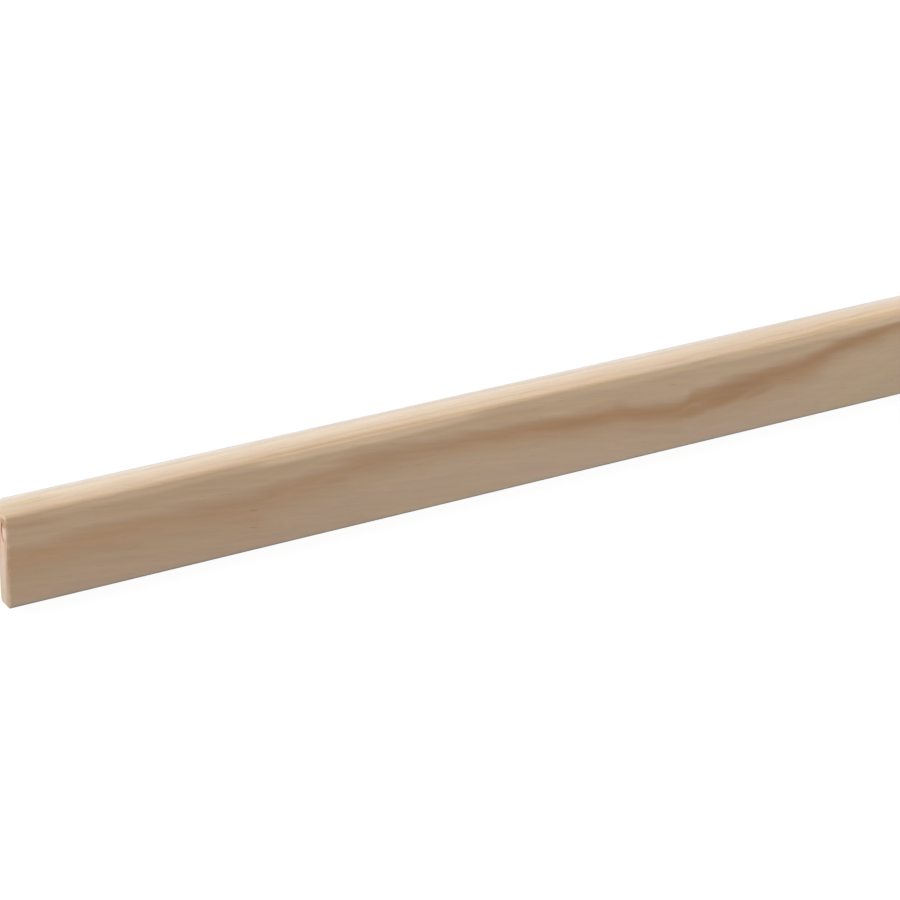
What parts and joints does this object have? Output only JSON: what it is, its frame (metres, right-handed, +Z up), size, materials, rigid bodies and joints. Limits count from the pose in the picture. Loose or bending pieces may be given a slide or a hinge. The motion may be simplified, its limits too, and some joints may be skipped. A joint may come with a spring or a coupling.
{
  "type": "hockey stick moulding",
  "caption": "Length of pine trim with an L-shaped section: a broad flat leg that covers a panel's face, and a deeper rounded head that closes its edge.",
  "frame": {"origin": "middle of the length and of the width as it lies, on the floor", "axes": "+X along the length, +Y from the leg's tip towards the head, +Z up from the floor; the show face is up and leans with the leg's tip low"},
  "size_m": [2.4, 0.0296, 0.0136],
  "materials": {
    "pine": "planed, unfinished"
  },
  "bodies": {
    "root": {"moulding": "pine"}
  },
  "joints": []
}
